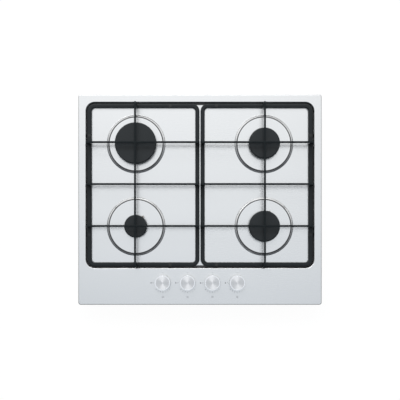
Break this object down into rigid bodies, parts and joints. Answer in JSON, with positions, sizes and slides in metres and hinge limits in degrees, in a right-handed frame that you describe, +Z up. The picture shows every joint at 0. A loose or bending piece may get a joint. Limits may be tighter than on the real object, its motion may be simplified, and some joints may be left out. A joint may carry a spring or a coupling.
{
  "type": "gas cooktop",
  "caption": "Built-in gas cooktop: brushed steel plate with round burners, wire pan supports and a row of push-and-turn knobs along the front.",
  "frame": {"origin": "centre of the footprint, at the level of the bottom tray's underside", "axes": "+X to the right, +Y to the rear, away from the knobs, +Z up"},
  "size_m": [0.59, 0.51, 0.088],
  "materials": {
    "brushed_plate": "fine linear brushed stainless steel",
    "galvanised": "zinc coated sheet steel",
    "black_enamel": "matt black vitreous enamel on steel",
    "black_rubber": "matt",
    "grey_foam": "matt closed cell foam",
    "cast_aluminium": "fine blasted casting",
    "turned_aluminium": "circular turned face",
    "zinc_steel": "bright zinc",
    "dark_steel": "heat darkened",
    "brass": "machined",
    "ceramic": "glazed alumina ceramic",
    "copper_sensor": "copper sheath",
    "black_plastic": "fine texture",
    "white_plastic": "heat resistant moulding",
    "silicone_lead": "silicone insulation"
  },
  "bodies": {
    "cooktop": {"top_plate": "brushed_plate", "rim_seal": "grey_foam", "bottom_tray": "galvanised", "plate_studs": "zinc_steel", "flange_nuts": "zinc_steel", "clamp_screws": "zinc_steel", "burner_base_front_left": "cast_aluminium", "burner_base_rear_left": "cast_aluminium", "burner_base_rear_right": "cast_aluminium", "burner_base_front_right": "cast_aluminium", "burner_screws": "zinc_steel", "burner_injectors": "brass", "electrode_ceramics": "ceramic", "electrode_pins": "dark_steel", "thermocouples": "copper_sensor", "valve_bodies": "cast_aluminium", "valve_covers": "zinc_steel", "knob_seals": "black_rubber", "gas_rail": "galvanised", "rail_saddles": "galvanised", "inlet_elbow": "brass", "gas_supply_tubes": "cast_aluminium", "tube_nuts": "brass", "spark_generator": "white_plastic", "ignition_leads": "silicone_lead", "cable_gland": "black_plastic", "terminal_block": "white_plastic"},
    "pan_support_left": {"pan_support_left_frame": "black_enamel", "pan_support_left_long_bar": "black_enamel", "pan_support_left_cross_bars": "black_enamel", "pan_support_left_feet": "black_rubber"},
    "pan_support_right": {"pan_support_right_frame": "black_enamel", "pan_support_right_long_bar": "black_enamel", "pan_support_right_cross_bars": "black_enamel", "pan_support_right_feet": "black_rubber"},
    "crown_front_left": {"burner_crown_front_left": "cast_aluminium"},
    "cap_front_left": {"burner_cap_front_left": "black_enamel"},
    "crown_rear_left": {"burner_crown_rear_left": "cast_aluminium"},
    "cap_rear_left": {"burner_cap_rear_left": "black_enamel"},
    "crown_rear_right": {"burner_crown_rear_right": "cast_aluminium"},
    "cap_rear_right": {"burner_cap_rear_right": "black_enamel"},
    "crown_front_right": {"burner_crown_front_right": "cast_aluminium"},
    "cap_front_right": {"burner_cap_front_right": "black_enamel"},
    "tap_plug_1": {"valve_plug_1": "brass"},
    "knob_and_spindle_1": {"knob_1": "turned_aluminium", "valve_spindle_1": "zinc_steel"},
    "tap_plug_2": {"valve_plug_2": "brass"},
    "knob_and_spindle_2": {"knob_2": "turned_aluminium", "valve_spindle_2": "zinc_steel"},
    "tap_plug_3": {"valve_plug_3": "brass"},
    "knob_and_spindle_3": {"knob_3": "turned_aluminium", "valve_spindle_3": "zinc_steel"},
    "tap_plug_4": {"valve_plug_4": "brass"},
    "knob_and_spindle_4": {"knob_4": "turned_aluminium", "valve_spindle_4": "zinc_steel"},
    "clamp_rear_left": {"worktop_clamp_rear_left": "zinc_steel"},
    "clamp_rear_right": {"worktop_clamp_rear_right": "zinc_steel"},
    "clamp_front_left": {"worktop_clamp_front_left": "zinc_steel"},
    "clamp_front_right": {"worktop_clamp_front_right": "zinc_steel"}
  },
  "joints": [
    {"name": "pan_support_left_lift", "type": "slide", "parent": "cooktop", "child": "pan_support_left", "axis": [0, 0, 1], "range_m": [0, 0.15]},
    {"name": "pan_support_right_lift", "type": "slide", "parent": "cooktop", "child": "pan_support_right", "axis": [0, 0, 1], "range_m": [0, 0.15]},
    {"name": "crown_front_left_lift", "type": "slide", "parent": "cooktop", "child": "crown_front_left", "axis": [0, 0, 1], "range_m": [0, 0.006]},
    {"name": "cap_front_left_lift", "type": "slide", "parent": "crown_front_left", "child": "cap_front_left", "axis": [0, 0, 1], "range_m": [0, 0.006]},
    {"name": "crown_rear_left_lift", "type": "slide", "parent": "cooktop", "child": "crown_rear_left", "axis": [0, 0, 1], "range_m": [0, 0.006]},
    {"name": "cap_rear_left_lift", "type": "slide", "parent": "crown_rear_left", "child": "cap_rear_left", "axis": [0, 0, 1], "range_m": [0, 0.006]},
    {"name": "crown_rear_right_lift", "type": "slide", "parent": "cooktop", "child": "crown_rear_right", "axis": [0, 0, 1], "range_m": [0, 0.006]},
    {"name": "cap_rear_right_lift", "type": "slide", "parent": "crown_rear_right", "child": "cap_rear_right", "axis": [0, 0, 1], "range_m": [0, 0.006]},
    {"name": "crown_front_right_lift", "type": "slide", "parent": "cooktop", "child": "crown_front_right", "axis": [0, 0, 1], "range_m": [0, 0.006]},
    {"name": "cap_front_right_lift", "type": "slide", "parent": "crown_front_right", "child": "cap_front_right", "axis": [0, 0, 1], "range_m": [0, 0.006]},
    {"name": "knob_1_turn", "type": "hinge", "parent": "cooktop", "child": "tap_plug_1", "pos_m": [-0.09, -0.2015, 0.04], "axis": [0, 0, 1], "range_deg": [0, 225]},
    {"name": "knob_1_push", "type": "slide", "parent": "tap_plug_1", "child": "knob_and_spindle_1", "axis": [0, 0, -1], "range_m": [0, 0.0035], "stiffness_N_per_m": 1200, "springref_m": -0.003},
    {"name": "knob_2_turn", "type": "hinge", "parent": "cooktop", "child": "tap_plug_2", "pos_m": [-0.03, -0.2015, 0.04], "axis": [0, 0, 1], "range_deg": [0, 225]},
    {"name": "knob_2_push", "type": "slide", "parent": "tap_plug_2", "child": "knob_and_spindle_2", "axis": [0, 0, -1], "range_m": [0, 0.0035], "stiffness_N_per_m": 1200, "springref_m": -0.003},
    {"name": "knob_3_turn", "type": "hinge", "parent": "cooktop", "child": "tap_plug_3", "pos_m": [0.03, -0.2015, 0.04], "axis": [0, 0, 1], "range_deg": [0, 225]},
    {"name": "knob_3_push", "type": "slide", "parent": "tap_plug_3", "child": "knob_and_spindle_3", "axis": [0, 0, -1], "range_m": [0, 0.0035], "stiffness_N_per_m": 1200, "springref_m": -0.003},
    {"name": "knob_4_turn", "type": "hinge", "parent": "cooktop", "child": "tap_plug_4", "pos_m": [0.09, -0.2015, 0.04], "axis": [0, 0, 1], "range_deg": [0, 225]},
    {"name": "knob_4_push", "type": "slide", "parent": "tap_plug_4", "child": "knob_and_spindle_4", "axis": [0, 0, -1], "range_m": [0, 0.0035], "stiffness_N_per_m": 1200, "springref_m": -0.003},
    {"name": "clamp_rear_left_swing", "type": "hinge", "parent": "cooktop", "child": "clamp_rear_left", "pos_m": [-0.266, 0.15, 0.0058], "axis": [0, 0, 1], "range_deg": [0, 90]},
    {"name": "clamp_rear_right_swing", "type": "hinge", "parent": "cooktop", "child": "clamp_rear_right", "pos_m": [0.266, 0.15, 0.0058], "axis": [0, 0, -1], "range_deg": [0, 90]},
    {"name": "clamp_front_left_swing", "type": "hinge", "parent": "cooktop", "child": "clamp_front_left", "pos_m": [-0.266, -0.13, 0.0058], "axis": [0, 0, 1], "range_deg": [0, 90]},
    {"name": "clamp_front_right_swing", "type": "hinge", "parent": "cooktop", "child": "clamp_front_right", "pos_m": [0.266, -0.13, 0.0058], "axis": [0, 0, -1], "range_deg": [0, 90]}
  ]
}
